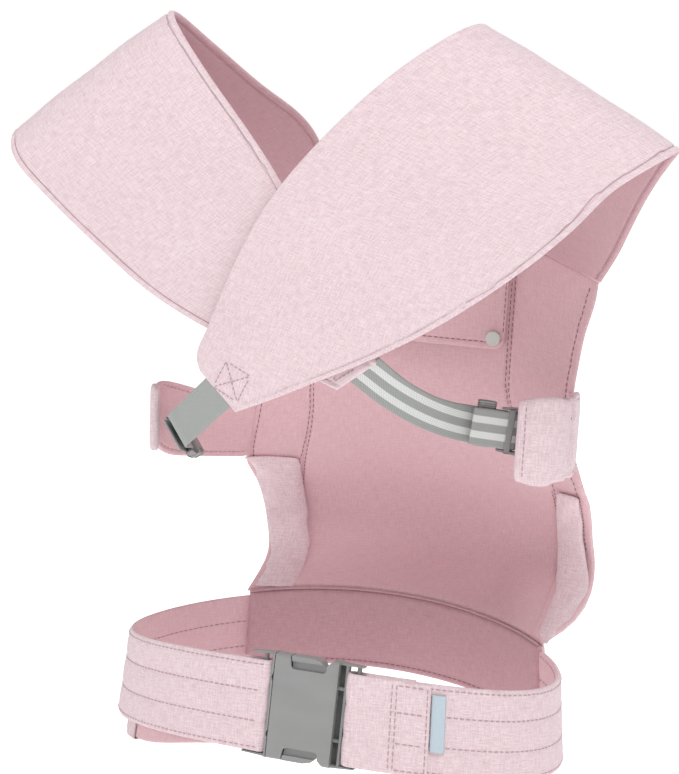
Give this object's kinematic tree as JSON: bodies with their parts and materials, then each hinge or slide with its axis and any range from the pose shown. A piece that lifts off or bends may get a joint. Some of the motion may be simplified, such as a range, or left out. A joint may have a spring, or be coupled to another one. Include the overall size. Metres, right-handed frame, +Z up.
{
  "type": "soft baby carrier",
  "caption": "Soft front-worn baby carrier with crossed padded shoulder straps, structured body panel, leg cushions, waist belt and side-release buckles.",
  "frame": {"origin": "at the bottom centre of the carrier's bounding box, on the level of the waist belt's lowest edge", "axes": "+Z up, +Y towards the wearer's front (the body panel), +X towards the wearer's right"},
  "size_m": [0.4556, 0.2824, 0.493],
  "materials": {
    "outer_fabric": "matte",
    "lining_fabric": "matte",
    "foam": "matte",
    "grey_webbing": "satin",
    "striped_webbing": "satin",
    "elastic": "matte",
    "tag_tape": "satin",
    "snap_plastic": "satin",
    "buckle_plastic": "satin"
  },
  "bodies": {
    "carrier": {"waist_pad_cover": "outer_fabric", "waist_pad_foam": "foam", "waist_belt_arm_right": "outer_fabric", "waist_belt_loop_right": "outer_fabric", "waist_belt_arm_left": "outer_fabric", "waist_belt_keeper": "elastic", "care_tag": "tag_tape", "body_panel_centre": "lining_fabric", "body_panel_side_left": "lining_fabric", "body_panel_side_right": "lining_fabric", "leg_cushion_cover_left": "outer_fabric", "leg_cushion_cover_right": "outer_fabric", "leg_cushion_foam_left": "foam", "leg_cushion_foam_right": "foam", "head_support_snap_sockets": "snap_plastic", "shoulder_strap_left": "outer_fabric", "shoulder_strap_right": "outer_fabric", "wing_left": "outer_fabric", "wing_right": "outer_fabric", "buckle_cover_left": "outer_fabric", "buckle_cover_right": "outer_fabric", "side_webbing_left": "grey_webbing", "side_webbing_right": "striped_webbing", "waist_buckle_socket": "buckle_plastic", "side_left_buckle_socket": "buckle_plastic", "side_right_buckle_socket": "buckle_plastic"},
    "waist_plug": {"waist_buckle_plug": "buckle_plastic"},
    "left_plug": {"side_left_buckle_plug": "buckle_plastic", "side_webbing_tail_left": "grey_webbing"},
    "right_plug": {"side_right_buckle_plug": "buckle_plastic", "side_webbing_tail_right": "striped_webbing"},
    "right_webbing_ring": {"side_webbing_ring_right": "elastic"},
    "head_support_flap": {"head_support": "lining_fabric", "head_support_snap_caps": "snap_plastic"},
    "waist_prong_upper": {"waist_prong_upper": "buckle_plastic"},
    "waist_prong_lower": {"waist_prong_lower": "buckle_plastic"},
    "side_left_prong_upper": {"side_left_prong_upper": "buckle_plastic"},
    "side_left_prong_lower": {"side_left_prong_lower": "buckle_plastic"},
    "side_right_prong_upper": {"side_right_prong_upper": "buckle_plastic"},
    "side_right_prong_lower": {"side_right_prong_lower": "buckle_plastic"}
  },
  "joints": [
    {"name": "waist_buckle_release", "type": "slide", "parent": "carrier", "child": "waist_plug", "axis": [-0.9976, -0.0658, 0.0199], "range_m": [0, 0.034], "deforming": ["waist_belt_arm_left", "waist_prong_upper", "waist_prong_lower"]},
    {"name": "waist_press_upper", "type": "hinge", "parent": "waist_plug", "child": "waist_prong_upper", "pos_m": [-0.00494, -0.12174, 0.0643], "axis": [-0.0674, 0.9933, -0.0937], "range_deg": [0, 7.5]},
    {"name": "waist_press_lower", "type": "hinge", "parent": "waist_plug", "child": "waist_prong_lower", "pos_m": [-0.00545, -0.12527, 0.02721], "axis": [0.0674, -0.9933, 0.0937], "range_deg": [0, 7.5]},
    {"name": "left_buckle_release", "type": "slide", "parent": "carrier", "child": "left_plug", "axis": [0.2401, -0.9552, 0.1729], "range_m": [0, 0.018], "deforming": ["side_webbing_left", "side_left_prong_upper", "side_left_prong_lower"]},
    {"name": "left_press_upper", "type": "hinge", "parent": "left_plug", "child": "side_left_prong_upper", "pos_m": [-0.11979, -0.0508, 0.21006], "axis": [-0.7752, -0.2959, -0.5582], "range_deg": [0, 7.5]},
    {"name": "left_press_lower", "type": "hinge", "parent": "left_plug", "child": "side_left_prong_lower", "pos_m": [-0.10938, -0.0508, 0.1956], "axis": [0.7752, 0.2959, 0.5582], "range_deg": [0, 7.5]},
    {"name": "right_buckle_release", "type": "slide", "parent": "carrier", "child": "right_plug", "axis": [-0.912, -0.4, 0.0913], "range_m": [0, 0.018], "deforming": ["side_webbing_right", "side_right_prong_upper", "side_right_prong_lower"]},
    {"name": "right_press_upper", "type": "hinge", "parent": "right_plug", "child": "side_right_prong_upper", "pos_m": [0.12846, -0.03635, 0.23777], "axis": [-0.398, 0.9165, 0.0398], "range_deg": [0, 7.5]},
    {"name": "right_press_lower", "type": "hinge", "parent": "right_plug", "child": "side_right_prong_lower", "pos_m": [0.12668, -0.03635, 0.22004], "axis": [0.398, -0.9165, -0.0398], "range_deg": [0, 7.5]},
    {"name": "right_webbing_ring_slide", "type": "slide", "parent": "right_plug", "child": "right_webbing_ring", "axis": [-0.912, -0.4, 0.0913], "range_m": [-0.003, 0.006]},
    {"name": "head_support_fold", "type": "hinge", "parent": "carrier", "child": "head_support_flap", "pos_m": [0.01266, 0.06525, 0.345], "axis": [-1, 0, 0], "range_deg": [0, 160]}
  ]
}
